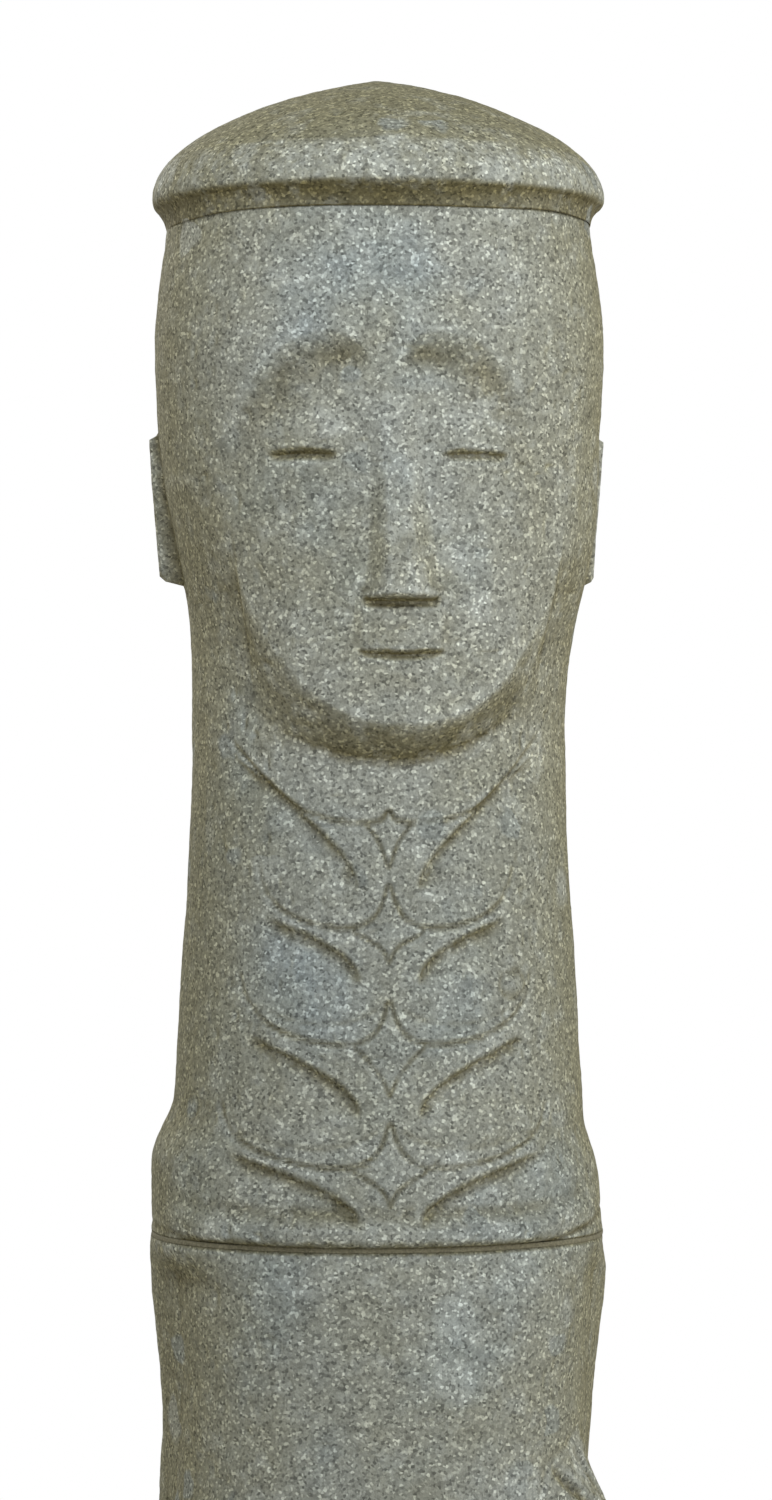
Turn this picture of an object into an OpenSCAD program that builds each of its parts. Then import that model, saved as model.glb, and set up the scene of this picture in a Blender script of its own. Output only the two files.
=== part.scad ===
// Standing stone figure with a domed cap, a long relief-carved neck and a collar roll.
// It is built of carved stones that are bedded in mortar and pinned with steel dowels.
// The cap stone is set dry on two dowels, so it lifts straight off.
// +Z is up, the figure faces -Y, and the origin is the centre of the plinth's underside.

/* [Heights] */
// Height from the floor to the top of the cap
overall_h = 1300; // [1260:10:1360]
// Height of the cap stone
cap_h = 85; // [80:1:95]
// Height of the head, from the chin to the seat of the cap
head_h = 320; // [300:5:330]
// Height of the neck, from the collar joint to the chin
neck_h = 285; // [270:5:300]
// Height of the plinth
plinth_h = 90; // [80:5:110]

/* [Widths] */
// Largest radius of the cap's brim
cap_r = 135.6; // [132:0.2:140]
// Half width of the head at the brow
head_half_w = 134.5; // [128:0.5:137]
// Half width of the neck just below the chin
neck_half_w = 111.5; // [106:0.5:116]
// Half width of the trunk below the shoulders
trunk_half_w = 127; // [122:0.5:130]
// Radius of the plinth
plinth_r = 150; // [146:1:170]

/* [Joints] */
// Thickness of a mortar bed
bed_t = 3; // [2:0.5:6]
// Thickness of the pads that the cap rests on
pad_t = 2; // [1:0.5:3]
// Radius of a cap dowel
cap_dowel_r = 6; // [5:0.5:8]
// Radial clearance of a cap dowel in the cap stone
cap_dowel_gap = 0.5; // [0.3:0.1:0.8]
// Radius of a collar or base dowel
dowel_r = 8; // [6:0.5:10]
// Radial thickness of the resin around a dowel
resin_t = 3; // [2:0.5:4]
// Radius of an anchor hole in the plinth's underside
anchor_r = 8; // [6:0.5:10]
// Depth of an anchor hole
anchor_depth = 70; // [50:1:75]

/* [Hidden] */

// Heights of the joints between the stones
z_seat = overall_h - cap_h;
z_head_top = z_seat - pad_t;
z_chin = z_seat - head_h;
z_neck_foot = z_chin - neck_h + bed_t / 2;
z_torso_top = z_neck_foot - bed_t;
z_torso_foot = plinth_h + bed_t;

// Colours
stone = "#868778";
stone_dark = "#7d7e70";
mortar = "#a39f8e";
steel = "#b4b8bb";
resin = "#8f8a78";
rubber = "#2f2f2e";

// Where the dowels and anchor holes stand, as distances from the axis along X
cap_dowel_x = 60;
collar_dowel_x = 55;
base_dowel_x = 42;
anchor_x = 92;
// How far each dowel reaches into the stone on either side of its joint
cap_dowel_up = 42;
cap_dowel_down = 70;
dowel_grip = 150;
base_dowel_down = 60;
base_dowel_up = 130;
// Free depth past the end of a dowel
end_gap = 5;
// How far a bed stops short of the face of the stones
bed_inset = 9;
pad_r = 14;
pad_ring_r = 88;
smooth_fn = 96;

// ---- Interpolation -------------------------------------------------------------------

function clamp(t) = min(1, max(0, t));
function ease(t) = let (u = clamp(t)) u * u * (3 - 2 * u);
function mix(a, b, t) = a + (b - a) * t;
// A table of stations read with its corners rounded over a span
function soft(table, at, span) =
    (lookup(at - span, table) + 2 * lookup(at, table) + lookup(at + span, table)) / 4;
// Rounded bump that is one at its centre and zero past its half width
function bump(d, w) = abs(d) < w ? sqrt(1 - pow(d / w, 2)) : 0;
// Distance from a point to a segment, both on the unrolled surface
function to_segment(p, a, b) =
    let (ab = b - a, t = clamp(((p - a) * ab) / (ab * ab)))
    norm(p - a - t * ab);

// ---- Cross-sections ------------------------------------------------------------------
// An angle is 0 at the front and grows toward +X.

// Radius of a superellipse with half width a and half depth bf in front and bb behind
function oval(angle, a, bf, bb, n) =
    let (b = cos(angle) > 0 ? bf : bb)
    pow(pow(abs(sin(angle)) / a, n) + pow(abs(cos(angle)) / b, n), -1 / n);
function point_at(angle, r, z) = [r * sin(angle), -r * cos(angle), z];
// Length along the unrolled surface from the front, at a typical radius
function along(angle, r) = r * PI * angle / 180;

// ---- Head and neck -------------------------------------------------------------------

face_n = 2.35;
neck_n = 2.15;
// Half width of the head, as [share of the head's height, share of head_half_w]
head_widths = [[0.1, 0.815], [0.29, 0.885], [0.5, 0.96], [0.72, 1], [0.86, 0.985], [1, 0.925]];
// Depth of the face in front of the axis and of the skull behind it
face_depths = [[0, 0.905], [0.35, 0.93], [0.75, 0.945], [1, 0.9]];
skull_depths = [[0, 0.83], [0.4, 0.9], [0.75, 0.94], [1, 0.9]];
// Half width of the neck, as [share of the neck's height, share of neck_half_w]
neck_widths = [[0, 1.135], [0.27, 1.105], [0.5, 1.065], [0.7, 1.03], [1, 1]];
neck_depth = 0.94;

function head_r(angle, z) =
    let (u = (z - z_chin) / head_h)
    oval(angle, head_half_w * soft(head_widths, u, 0.06), head_half_w * soft(face_depths, u, 0.06),
        head_half_w * soft(skull_depths, u, 0.06), face_n);
function neck_r(angle, z) =
    let (a = neck_half_w * soft(neck_widths, (z - z_torso_top) / neck_h, 0.08))
    oval(angle, a, a * neck_depth, a * neck_depth, neck_n);

// The jaw slopes back from the edge of the face to a crease on the neck. Its edge is crisp at
// the chin and rounder up the cheeks. The jaw comes further down on the figure's left. The
// edge's middle lies a little to the figure's left and the crease's a little to its right.
jaw_half_s = 104;
jaw_rise = 128;
jaw_edge_up = 18;
cheek_s = 92;
cheek_span = 34;
cheek_rise = 49;
edge_shift = 5;
crease_shift = -4;
jaw_drop = 36;
jaw_crisp = 1.25;
jaw_round = 2.2;
crease_limit = 135;
crease_curve = 0.0032;
function face_edge_z(s) =
    let (a = abs(s - edge_shift))
    z_chin + jaw_edge_up + jaw_rise * (1 - sqrt(1 - pow(min(1, a / jaw_half_s), 2)))
        + cheek_rise * ease((a - cheek_s) / cheek_span);
function crease_z(s) = z_chin - 3 + crease_curve * pow(min(abs(s - crease_shift), crease_limit), 2);
function jaw_z(angle, z) =
    z + jaw_drop * ease((sin(angle) - 0.6) / 0.35) * ease((0.62 - (z - z_chin) / head_h) / 0.25);
function jaw_fullness(t, z) = 1 - pow(1 - t, mix(jaw_crisp, jaw_round, ease((z - z_chin - 50) / 80)));

// Relief of the face: the nose and the hollows under the brows
nose_top = 0.72;
nose_foot = 0.285;
nose_out = 11;
brow_hollow = 6;
nose_lean = 3.2;
brow_shift = -7;
function nose(s, z) =
    let (u = (z - z_chin) / head_h, t = clamp((nose_top - u) / (nose_top - nose_foot)), half = mix(9, 22, t))
    u > nose_top || u < nose_foot ? 0 : mix(4, nose_out, t) * bump(s - nose_lean * t, half + 4);
function brow(s, z) =
    let (u = (z - z_chin) / head_h, d = norm([(abs(s - brow_shift) - 52) / 44, (u - 0.62) / 0.15]))
    -brow_hollow * ease(1.3 - d);

// Flat ear plates reach from the first radius at their foot to the second at their top
ear_angle = 97;
ear_half = 7;
ear_reaches = [130.5, 137.4];
ear_span = [0.32, 0.6];
function ear_reach(angle, z) =
    let (u = (z - z_chin) / head_h, t = (u - ear_span[0]) / (ear_span[1] - ear_span[0]))
    abs(abs(angle) - ear_angle) < ear_half && t > 0 && t < 1
        ? mix(ear_reaches[0], ear_reaches[1], t) : 0;

// The shoulders swell out on both sides of the foot of the neck, the right one further and
// from a little higher up. The collar roll is level in front and climbs over the shoulders.
shoulder_out = 9;
shoulder_top = 78;
shoulder_ramp = 38;
shoulder_lean = 2.5;
shoulder_side = 92;
roll_out = 5;
roll_half = 9;
roll_up = 9.5;
roll_climb = 12;
function shoulder(angle, z) =
    let (lean = shoulder_lean * sin(angle) * mix(0.3, 1, ease((z - z_neck_foot) / 45)))
    (shoulder_out - lean) * ease((z_torso_top + shoulder_top - 2 * lean - z) / shoulder_ramp)
        * ease(1.5 - abs(abs(angle) - shoulder_side) / 40);
function roll(angle, z) =
    let (climb = roll_climb * (1 + sin(angle) / 2) * ease((abs(angle) - 35) / 60),
        fullness = mix(1, 0.15, ease((abs(angle) - 45) / 35)))
    fullness * roll_out * bump(z - z_neck_foot - roll_up - climb, roll_half);

function head_neck_r(angle, z) =
    let (s = along(angle, head_half_w * 0.93), low = crease_z(s), high = face_edge_z(s), at = jaw_z(angle, z),
        t = clamp((at - low) / (high - low)), on_face = ease(t * 2 - 1))
    max(ear_reach(angle, z), mix(neck_r(angle, z), head_r(angle, at), jaw_fullness(t, z))
        + on_face * (nose(s, z) + brow(s, z)) + max(shoulder(angle, z), roll(angle, z)));

// ---- Trunk, arms and legs ------------------------------------------------------------

trunk_n = 2.3;
// Half width and half depth as [share of the trunk's height, share of trunk_half_w]
trunk_widths = [[0, 0.98], [0.25, 1.02], [0.5, 1.02], [0.72, 0.955], [0.84, 0.95], [0.93, 1], [1, 1.015]];
trunk_depths = [[0, 0.9], [0.25, 0.94], [0.52, 1.0], [0.8, 0.93], [1, 0.95]];
// The chest stands a little toward the figure's left
chest_lean = 1.6;

// Limbs as segments on the unrolled surface: [half width, height, from, to].
// The right hand lies lower than the left one by the drop.
right_hand_drop = 46;
function upper_arm(drop) = [48, 10, [196, 570], [262, 250 - drop / 2]];
function fore_arm(drop) = [30, 12, [262, 240 - drop / 2], [187, 314 - drop]];
function hand(drop) = [40, 13, [187, 314 - drop], [140, 361 - drop]];
thigh = [48, 12, [64, 205], [56, 130]];
shin = [36, 8, [56, 130], [56, 20]];
foot = [42, 16, [56, 20], [56, 6]];

// Over its last stretch the trunk takes up the outline of the neck stone's foot
top_blend = 24;
function limb_at(s, h, limb) = limb[1] * bump(to_segment([s, h], limb[2], limb[3]), limb[0]);
function trunk_r(angle, z) =
    let (h = z - z_torso_foot, u = h / (z_torso_top - z_torso_foot), s = abs(along(angle, trunk_half_w)),
        a = trunk_half_w * soft(trunk_widths, u, 0.08), b = trunk_half_w * soft(trunk_depths, u, 0.08),
        drop = angle < 0 ? right_hand_drop : 0,
        limbs = [upper_arm(drop), fore_arm(drop), hand(drop), thigh, shin, foot])
    oval(angle, a, b, b * 0.97, trunk_n) + chest_lean * sin(angle) * ease((u - 0.7) / 0.1)
        + max([for (limb = limbs) limb_at(s, h, limb)]);
function torso_r(angle, z) =
    mix(trunk_r(angle, z), neck_r(angle, z_neck_foot) + shoulder(angle, z_neck_foot),
        ease(1 - (z_torso_top - z) / top_blend));

// ---- Lofts ---------------------------------------------------------------------------

function span(from, to, n) = [for (i = [0 : n - 1]) mix(from, to, i / n)];
// Half turn of section angles, closest together over the face
half_angles = concat(span(0, 60, 12), span(60, 90, 4), span(90, 104, 4), span(104, 180, 7));
section_angles = concat(half_angles, [180], [for (i = [len(half_angles) - 1 : -1 : 1]) -half_angles[i]]);

head_rows = concat(span(z_neck_foot, z_neck_foot + 30, 8), span(z_neck_foot + 30, z_chin - 8, 16),
    span(z_chin - 8, z_chin + 35, 7), span(z_chin + 35, z_head_top, 18), [z_head_top]);
torso_rows = concat(span(z_torso_foot, z_torso_top, 32), [z_torso_top]);

// Solid through one ring of points per row, closed by a flat face at each end
module loft(rings) {
    n = len(rings[0]);
    last = len(rings) - 1;
    sides = [for (i = [0 : last - 1], j = [0 : n - 1])
        let (k = (j + 1) % n) each [
            [i * n + j, (i + 1) * n + j, i * n + k],
            [i * n + k, (i + 1) * n + j, (i + 1) * n + k]]];
    foot_face = [for (j = [0 : n - 1]) j];
    top_face = [for (j = [n - 1 : -1 : 0]) last * n + j];
    polyhedron([for (ring = rings) each ring], concat(sides, [foot_face, top_face]));
}

// ---- Dowels, resin, beds -------------------------------------------------------------

// The child stands on both sides of the axis
module pair(x) {
    for (side = [-1, 1])
        translate([side * x, 0, 0]) children();
}

module rod(r, from, to) {
    translate([0, 0, from])
        cylinder(h = to - from, r = r, $fn = smooth_fn);
}

module bed(radii, z) {
    translate([0, 0, z])
        linear_extrude(bed_t)
            polygon([for (angle = section_angles)
                let (r = radii(angle) - bed_inset) [r * sin(angle), -r * cos(angle)]]);
}

// ---- Sub-parts -----------------------------------------------------------------------

// The dome runs down to a rounded lip, and a bevel under the lip leads in to a flat seat
dome_power = 1.18;
brim_drop = 12;
lip_r = 6;
seat_inset = 11;
module cap_stone() {
    z_wide = z_seat + brim_drop;
    dome = [for (a = [0 : 4 : 88])
        [cap_r * pow(sin(a), 2 / dome_power), z_wide + (cap_h - brim_drop) * cos(a)]];
    lip = [for (a = [0 : 15 : 60]) [cap_r - lip_r * (1 - cos(a)), z_wide - lip_r * sin(a)]];
    color(stone)
        difference() {
            rotate_extrude($fn = smooth_fn)
                polygon(concat(dome, lip, [[cap_r - seat_inset, z_seat], [0, z_seat]]));
            pair(cap_dowel_x)
                rod(cap_dowel_r + cap_dowel_gap, z_seat - 1, z_seat + cap_dowel_up + end_gap);
        }
}

module cap_setting_pads() {
    color(rubber)
        for (angle = [0, 120, 240])
            rotate(angle) translate([0, -pad_ring_r, 0]) rod(pad_r, z_head_top, z_seat);
}

module cap_dowels() {
    color(steel)
        pair(cap_dowel_x) rod(cap_dowel_r, z_head_top - cap_dowel_down, z_seat + cap_dowel_up);
}

module cap_dowel_resin() {
    foot = z_head_top - cap_dowel_down;
    color(resin)
        pair(cap_dowel_x)
            difference() {
                rod(cap_dowel_r + resin_t, foot - end_gap, z_head_top);
                rod(cap_dowel_r, foot, z_head_top + 1);
            }
}

module head_neck_stone() {
    color(stone)
        difference() {
            loft([for (z = head_rows)
                [for (angle = section_angles) point_at(angle, head_neck_r(angle, z), z)]]);
            pair(cap_dowel_x)
                rod(cap_dowel_r + resin_t, z_head_top - cap_dowel_down - end_gap, z_head_top + 1);
            pair(collar_dowel_x)
                rod(dowel_r + resin_t, z_neck_foot - 1, z_neck_foot + dowel_grip + end_gap);
        }
}

module collar_bed() {
    color(mortar)
        difference() {
            bed(function (angle) neck_r(angle, z_neck_foot), z_torso_top);
            pair(collar_dowel_x) rod(dowel_r + resin_t, z_torso_top - 1, z_neck_foot + 1);
        }
}

module collar_dowels() {
    color(steel)
        pair(collar_dowel_x) rod(dowel_r, z_torso_top - dowel_grip, z_neck_foot + dowel_grip);
}

module collar_dowel_resin() {
    color(resin)
        pair(collar_dowel_x)
            difference() {
                rod(dowel_r + resin_t,
                    z_torso_top - dowel_grip - end_gap, z_neck_foot + dowel_grip + end_gap);
                rod(dowel_r, z_torso_top - dowel_grip, z_neck_foot + dowel_grip);
            }
}

module torso_stone() {
    color(stone)
        difference() {
            loft([for (z = torso_rows)
                [for (angle = section_angles) point_at(angle, torso_r(angle, z), z)]]);
            pair(collar_dowel_x)
                rod(dowel_r + resin_t, z_torso_top - dowel_grip - end_gap, z_torso_top + 1);
            pair(base_dowel_x)
                rod(dowel_r + resin_t, z_torso_foot - 1, z_torso_foot + base_dowel_up + end_gap);
        }
}

module base_bed() {
    color(mortar)
        difference() {
            bed(function (angle) torso_r(angle, z_torso_foot), plinth_h);
            pair(base_dowel_x) rod(dowel_r + resin_t, plinth_h - 1, z_torso_foot + 1);
        }
}

module base_dowels() {
    color(steel)
        pair(base_dowel_x) rod(dowel_r, plinth_h - base_dowel_down, z_torso_foot + base_dowel_up);
}

module base_dowel_resin() {
    color(resin)
        pair(base_dowel_x)
            difference() {
                rod(dowel_r + resin_t,
                    plinth_h - base_dowel_down - end_gap, z_torso_foot + base_dowel_up + end_gap);
                rod(dowel_r, plinth_h - base_dowel_down, z_torso_foot + base_dowel_up);
            }
}

// Round plinth with a bevelled upper edge and blind anchor holes in its underside
plinth_bevel = 10;
module plinth_stone() {
    color(stone_dark)
        difference() {
            rotate_extrude($fn = smooth_fn)
                polygon([[0, 0], [plinth_r - 3, 0], [plinth_r, 3], [plinth_r, plinth_h - plinth_bevel],
                    [plinth_r - plinth_bevel, plinth_h], [0, plinth_h]]);
            pair(base_dowel_x)
                rod(dowel_r + resin_t, plinth_h - base_dowel_down - end_gap, plinth_h + 1);
            pair(anchor_x)
                rod(anchor_r, -1, anchor_depth);
        }
}

cap_stone();
cap_setting_pads();
cap_dowels();
cap_dowel_resin();
head_neck_stone();
collar_bed();
collar_dowels();
collar_dowel_resin();
torso_stone();
base_bed();
base_dowels();
base_dowel_resin();
plinth_stone();
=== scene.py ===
import math

import bpy
import numpy as np
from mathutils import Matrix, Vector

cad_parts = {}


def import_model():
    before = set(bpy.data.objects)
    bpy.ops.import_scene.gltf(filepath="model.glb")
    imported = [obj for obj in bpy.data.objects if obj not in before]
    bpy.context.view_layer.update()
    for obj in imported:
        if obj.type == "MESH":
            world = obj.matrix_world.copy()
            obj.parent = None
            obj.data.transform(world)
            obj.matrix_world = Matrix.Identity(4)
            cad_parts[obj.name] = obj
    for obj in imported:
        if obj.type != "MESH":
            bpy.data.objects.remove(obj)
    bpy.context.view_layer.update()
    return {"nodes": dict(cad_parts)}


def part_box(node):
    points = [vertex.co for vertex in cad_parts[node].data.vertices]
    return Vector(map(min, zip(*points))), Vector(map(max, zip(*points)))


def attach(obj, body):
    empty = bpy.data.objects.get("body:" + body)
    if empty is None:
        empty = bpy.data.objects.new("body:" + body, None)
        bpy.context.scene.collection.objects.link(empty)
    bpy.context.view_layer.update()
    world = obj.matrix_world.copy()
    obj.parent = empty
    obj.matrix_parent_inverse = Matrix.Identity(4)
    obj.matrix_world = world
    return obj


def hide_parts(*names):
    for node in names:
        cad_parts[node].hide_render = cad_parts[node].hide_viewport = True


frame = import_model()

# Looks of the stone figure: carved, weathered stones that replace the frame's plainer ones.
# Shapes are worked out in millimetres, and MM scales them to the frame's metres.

MM = 0.001

# ---- Heights and sizes, in millimetres, from the frame --------------------------------


def low_z(node):
    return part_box(node)[0].z / MM


def high_z(node):
    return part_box(node)[1].z / MM


Z_TOP = high_z("cap_stone")
Z_SEAT = low_z("cap_stone")
Z_HEAD_TOP = high_z("head_neck_stone")
Z_NECK_FOOT = low_z("head_neck_stone")
Z_TORSO_TOP = high_z("torso_stone")
Z_TORSO_FOOT = low_z("torso_stone")
PLINTH_H = high_z("plinth_stone")
PLINTH_R = (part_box("plinth_stone")[1].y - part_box("plinth_stone")[0].y) / 2 / MM
CAP_R = (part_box("cap_stone")[1].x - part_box("cap_stone")[0].x) / 2 / MM
HEAD_H = 320.0
Z_CHIN = Z_SEAT - HEAD_H
NECK_H = Z_CHIN - (Z_NECK_FOOT + Z_TORSO_TOP) / 2
HEAD_HALF_W = 134.5
NECK_HALF_W = 111.5
TRUNK_HALF_W = 127.0
DOWEL_HOLE_R = 6.5
RESIN_HOLE_R = 9.0
DOWEL_R = 6.0
DOWEL_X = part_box("cap_dowels")[1].x / MM - DOWEL_R
ANCHOR_X = 92.0
ANCHOR_R = 8.0
ANCHOR_DEPTH = 70.0
HEAD_HOLE_DEPTH = 75.0

# Surfaces are height fields over a grid of angles and heights. An angle is 0 at the front
# and grows toward +X. A place on the head is measured along the unrolled surface.
HEAD_ROLL_R = HEAD_HALF_W * 0.93


# ---- Interpolation and noise ----------------------------------------------------------


def ease(t):
    u = np.clip(t, 0.0, 1.0)
    return u * u * (3 - 2 * u)


def mix(a, b, t):
    return a + (b - a) * t


def bump(d, half):
    """A round bump, one at its centre and zero past its half width."""
    return np.sqrt(np.clip(1 - (d / half) ** 2, 0, None))


def dome(d):
    """A soft dome of d, a distance in units of its half width."""
    return ease(1 - d)


def soft(table, at, span):
    """A table of stations read with its corners rounded over a span."""
    x, y = np.array(table).T
    return (np.interp(at - span, x, y) + 2 * np.interp(at, x, y) + np.interp(at + span, x, y)) / 4


# Large odd numbers that scatter the bits of a lattice point's place and of the seed
HASH_PLACE = (374761393, 668265263, 2147483647)
HASH_SEED, HASH_STIR = 1013904223, 1274126177
HASH_MAX = 0xFFFFFFFF


def lattice(ix, iy, iz, seed):
    """A fixed random number from 0 to 1 for each whole-numbered point."""
    with np.errstate(over="ignore"):
        h = np.uint32(seed * HASH_SEED & HASH_MAX)
        for whole, factor in zip((ix, iy, iz), HASH_PLACE):
            h = h + whole.astype(np.uint32) * np.uint32(factor)
        h = (h ^ (h >> np.uint32(13))) * np.uint32(HASH_STIR)
        h = h ^ (h >> np.uint32(16))
    return h.astype(float) / HASH_MAX


def noise(points, size, seed):
    """Smooth noise from -1 to 1 whose features are about size millimetres across."""
    q = points / size
    base = np.floor(q)
    f = q - base
    w = f * f * (3 - 2 * f)
    i = base.astype(np.int64)
    total = 0.0
    for dx in (0, 1):
        for dy in (0, 1):
            for dz in (0, 1):
                share = ((w[..., 0] if dx else 1 - w[..., 0]) * (w[..., 1] if dy else 1 - w[..., 1])
                         * (w[..., 2] if dz else 1 - w[..., 2]))
                total = total + share * lattice(i[..., 0] + dx, i[..., 1] + dy, i[..., 2] + dz, seed)
    return total * 2 - 1


def bezier(p0, p1, p2, p3, count=28):
    """Points along a cubic curve."""
    t = np.linspace(0, 1, count)[:, None]
    a, b, c, d = (np.array(p, float) for p in (p0, p1, p2, p3))
    return a * (1 - t) ** 3 + 3 * b * t * (1 - t) ** 2 + 3 * c * t ** 2 * (1 - t) + d * t ** 3


def distance_to(line, s, z):
    """Distance from each point (s, z) to a polyline."""
    best = np.full(s.shape, 1e9)
    for (ax, az), (bx, bz) in zip(line[:-1], line[1:]):
        ex, ez = bx - ax, bz - az
        t = np.clip(((s - ax) * ex + (z - az) * ez) / (ex * ex + ez * ez + 1e-9), 0, 1)
        best = np.minimum(best, (s - ax - t * ex) ** 2 + (z - az - t * ez) ** 2)
    return np.sqrt(best)


def groove(d, half, depth):
    """A V groove with soft lips, at distance d from its line."""
    return -depth * np.clip(1 - d / half, 0, 1) ** 1.3


# ---- Cross-sections shared with the CAD -----------------------------------------------


def oval(angle, a, b_front, b_back, n):
    """Radius of an oval of half width a and its own depths to the front and the back."""
    b = np.where(np.cos(angle) > 0, b_front, b_back)
    return ((np.abs(np.sin(angle)) / a) ** n + (np.abs(np.cos(angle)) / b) ** n) ** (-1 / n)


# Powers of the ovals, and the share of a stone's height that rounds the corners of its table
FACE_N, NECK_N, TRUNK_N = 2.35, 2.15, 2.3
HEAD_SPAN, BODY_SPAN = 0.06, 0.08
HEAD_WIDTHS = [(0.1, 0.815), (0.29, 0.885), (0.5, 0.96), (0.72, 1), (0.86, 0.985), (1, 0.925)]
FACE_DEPTHS = [(0, 0.905), (0.35, 0.93), (0.75, 0.945), (1, 0.9)]
SKULL_DEPTHS = [(0, 0.83), (0.4, 0.9), (0.75, 0.94), (1, 0.9)]
JAW_HALF_S, JAW_RISE, JAW_EDGE_UP, JAW_DROP = 104.0, 128.0, 18.0, 36.0
CHEEK_S, CHEEK_SPAN, CHEEK_RISE = 92.0, 34.0, 49.0
# The jaw's drop comes in toward the figure's left, by the sine of the angle, and below the cheek
JAW_SIDE_FROM, JAW_SIDE_SPAN = 0.6, 0.35
JAW_LOW_SHARE, JAW_LOW_SPAN = 0.62, 0.25
CREASE_DROP, CREASE_CURVE, CREASE_LIMIT = 3.0, 0.0032, 135.0
# The carver's centre lines stray: the face's edge to the figure's left, the crease to its right
EDGE_SHIFT, CREASE_SHIFT = 5.0, -4.0
JAW_CRISP, JAW_ROUND = 1.25, 2.2
NECK_WIDTHS = [(0, 1.135), (0.27, 1.105), (0.5, 1.065), (0.7, 1.03), (1, 1)]
NECK_DEPTH = 0.94
TRUNK_WIDTHS = [(0, 0.98), (0.25, 1.02), (0.5, 1.02), (0.72, 0.955), (0.84, 0.95), (0.93, 1), (1, 1.015)]
TRUNK_DEPTHS = [(0, 0.9), (0.25, 0.94), (0.52, 1.0), (0.8, 0.93), (1, 0.95)]
CHEST_LEAN = 1.6


def head_r(angle, z):
    u = (z - Z_CHIN) / HEAD_H
    sizes = [HEAD_HALF_W * soft(table, u, HEAD_SPAN) for table in (HEAD_WIDTHS, FACE_DEPTHS, SKULL_DEPTHS)]
    return oval(angle, *sizes, FACE_N)


def neck_r(angle, z):
    a = NECK_HALF_W * soft(NECK_WIDTHS, (z - Z_TORSO_TOP) / NECK_H, BODY_SPAN)
    return oval(angle, a, a * NECK_DEPTH, a * NECK_DEPTH, NECK_N)


def face_edge_z(s):
    """Lower edge of the face plane: half an ellipse, carried on up the cheeks."""
    a = np.abs(s - EDGE_SHIFT)
    jaw = JAW_RISE * (1 - np.sqrt(1 - np.minimum(1, a / JAW_HALF_S) ** 2))
    return Z_CHIN + JAW_EDGE_UP + jaw + CHEEK_RISE * ease((a - CHEEK_S) / CHEEK_SPAN)


def crease_z(s):
    """Crease where the jaw's bevel meets the neck."""
    across = np.minimum(np.abs(s - CREASE_SHIFT), CREASE_LIMIT)
    return Z_CHIN - CREASE_DROP + CREASE_CURVE * across ** 2


def jaw_z(angle, z):
    """The height whose section is used at z: the jaw comes further down on the figure's left."""
    share = (z - Z_CHIN) / HEAD_H
    side = ease((np.sin(angle) - JAW_SIDE_FROM) / JAW_SIDE_SPAN)
    return z + JAW_DROP * side * ease((JAW_LOW_SHARE - share) / JAW_LOW_SPAN)


def jaw_fullness(t, z):
    """Share of the way from neck to head: a crisp crease below, a rounder edge up the cheeks."""
    return 1 - (1 - t) ** mix(JAW_CRISP, JAW_ROUND, ease((z - Z_CHIN - 50) / 80))


# ---- Relief of the face ---------------------------------------------------------------

# Heights above the chin, and distances along the surface from its middle line
BROW_ARC = ((6, 224), (18, 252), (58, 254), (88, 196))
BROW_DEPTH, BROW_CUT, BROW_FADE = 7.1, 18.0, 48.0
BROW_INNER, BROW_OUTER = 2.0, 100.0
LID_OUT, LID_HALF_S, LID_HALF_H, LID_UP = 2.6, 33.0, 24.0, 8.0
BROW_SHIFT, EYE_SHIFT = -7.0, -4.0
# The nose and mouth lean to the figure's left below this height
NOSE_LEAN, LEAN_BELOW, LEAN_SPAN = 3.2, 185.0, 90.0
EYE_S, EYE_H, EYE_HALF, EYE_DEPTH = 50.0, 173.0, 20.5, 4.4
NOSE_FOOT_H, NOSE_TOP_H = 90.0, 226.0
NOSE_HIGH, NOSE_HALF_TOP, NOSE_HALF_FOOT = 14.0, 13.0, 22.0
NOSE_FACET = 4.0
MOUTH_H, MOUTH_HALF, MOUTH_DEPTH = 58.0, 26.0, 3.4
LIP_BLOCK_OUT, LIP_BLOCK_HALF = 1.8, 27.0
LOWER_LIP_OUT, LOWER_LIP_HALF_S, LOWER_LIP_HALF_H = 1.4, 28.0, 10.0
UNDER_NOSE_DEPTH, UNDER_NOSE_HALF = 2.4, 25.0
FACE_PLANE_HALF, FACE_PLANE_DEPTH = 88.0, 1.6


def brow_relief(s, h):
    """Hollows that cut in under the brow and come out again at the eyelid."""
    arc = bezier(*BROW_ARC)
    a = np.abs(s)
    under = np.interp(a, arc[:, 0], arc[:, 1]) - h
    inner = ease((a - BROW_INNER) / mix(14, 44, ease(under / 30)))
    outer = ease((BROW_OUTER - a) / 44)
    cut = np.clip(1 - np.exp(-(under + 1) / BROW_CUT), 0, None)
    hollow = -BROW_DEPTH * cut * (1 - ease((under - 4) / BROW_FADE)) * inner * outer
    lid = LID_OUT * dome(np.hypot((a - EYE_S) / LID_HALF_S, (h - EYE_H - LID_UP) / LID_HALF_H))
    return hollow + lid


def brow_shade(s, h):
    """Painted shade in the hollows that fades out toward the eyes."""
    arc = bezier(*BROW_ARC)
    a = np.abs(s)
    under = np.interp(a, arc[:, 0], arc[:, 1]) - h
    shade = ease(under / 14) * (1 - ease((under - 16) / 34))
    return shade * ease((a - BROW_INNER) / 24) * ease((94 - a) / 30)


def eye_relief(s, h):
    """A closed eye: a slit that sags at its ends and is steeper above than below."""
    a = np.abs(s) - EYE_S
    sag = -1.6 * (a / EYE_HALF) ** 2
    taper = np.clip(1 - (np.abs(a) / EYE_HALF) ** 3, 0, 1)
    d = h - EYE_H - sag
    half = np.where(d > 0, 1.8, 3.6)
    return -EYE_DEPTH * taper * np.exp(-(d / half) ** 2)


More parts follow.
